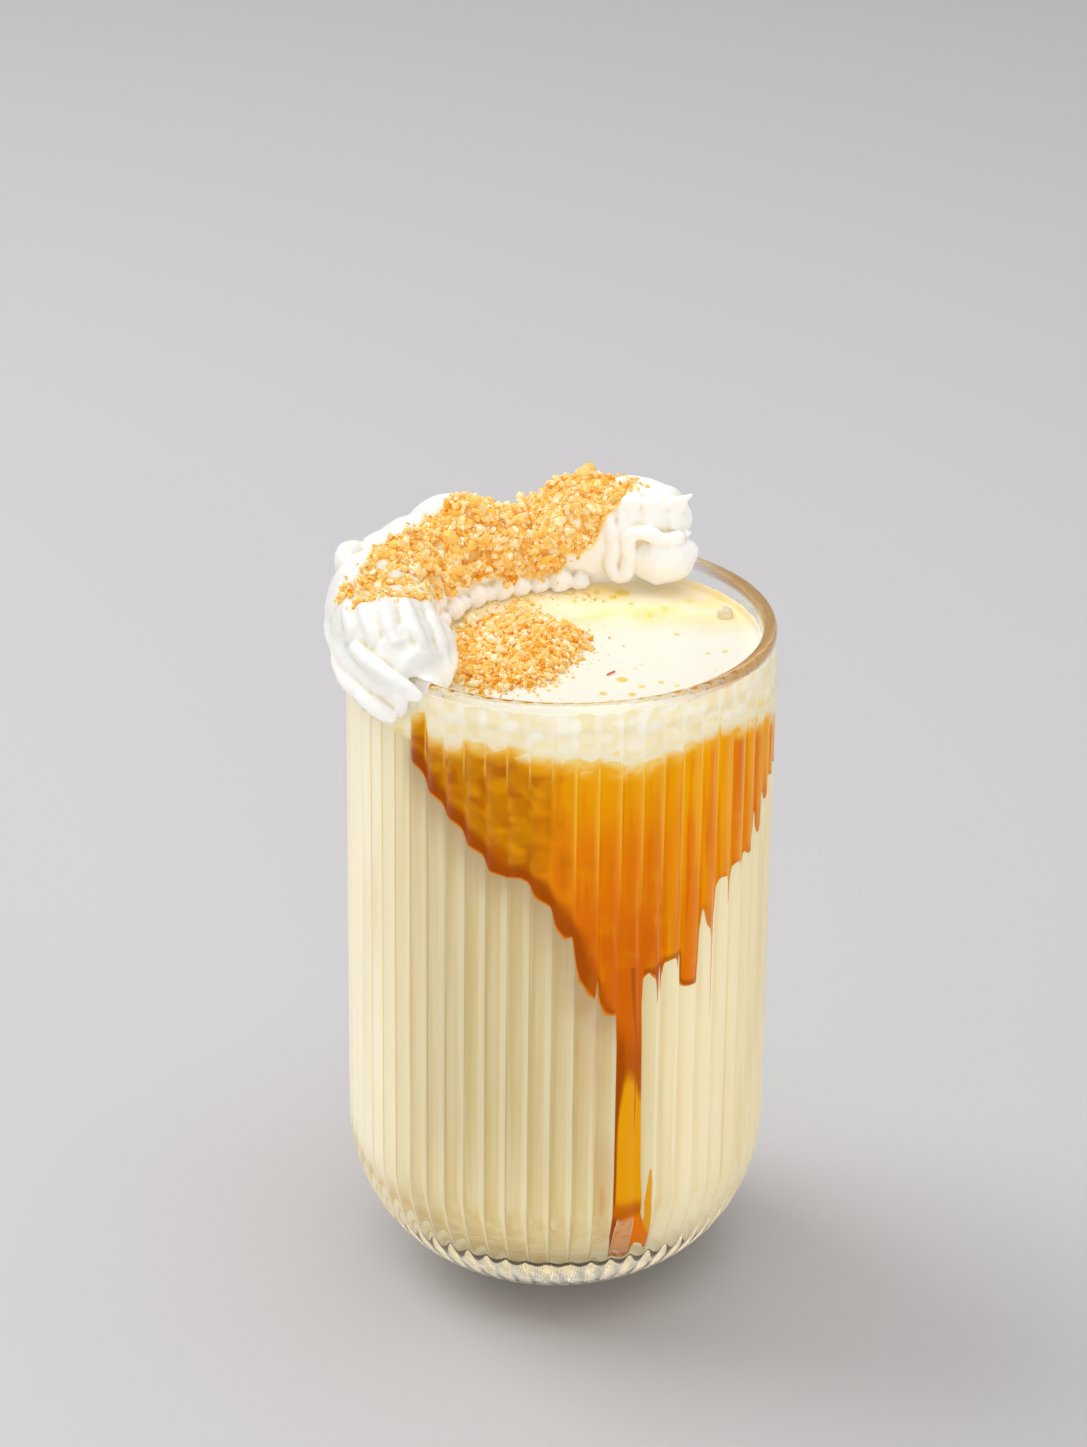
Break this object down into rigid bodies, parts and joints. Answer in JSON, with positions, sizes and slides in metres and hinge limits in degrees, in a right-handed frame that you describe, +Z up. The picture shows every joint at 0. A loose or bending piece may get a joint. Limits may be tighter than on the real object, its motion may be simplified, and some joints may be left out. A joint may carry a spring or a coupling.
{
  "type": "glass of vanilla milkshake",
  "caption": "Straight ribbed tumbler with a round heel, filled with pale milkshake, caramel running down the inner wall, a rope of whipped cream along the rim and biscuit crumbs.",
  "frame": {"origin": "middle of the glass's flat foot, on the surface it stands on", "axes": "+Z up along the glass's axis, -Y towards the viewer's front with the caramel run, +X to the viewer's right"},
  "size_m": [0.0829, 0.0843, 0.1431],
  "materials": {
    "glass": "clear, fire polished, with fine vertical ribs outside",
    "milkshake": "smooth, opaque, pale vanilla cream",
    "froth": "soft satin foam with fine bubbles",
    "caramel": "glossy, translucent amber sauce",
    "whipped_cream": "soft satin white, slightly translucent",
    "biscuit_crumb": "dry, matt, golden crumbs"
  },
  "bodies": {
    "root": {"glass": "glass", "milkshake": "milkshake", "froth": "froth", "caramel": "caramel", "whipped_cream": "whipped_cream", "crumb_heap": "biscuit_crumb"}
  },
  "joints": []
}
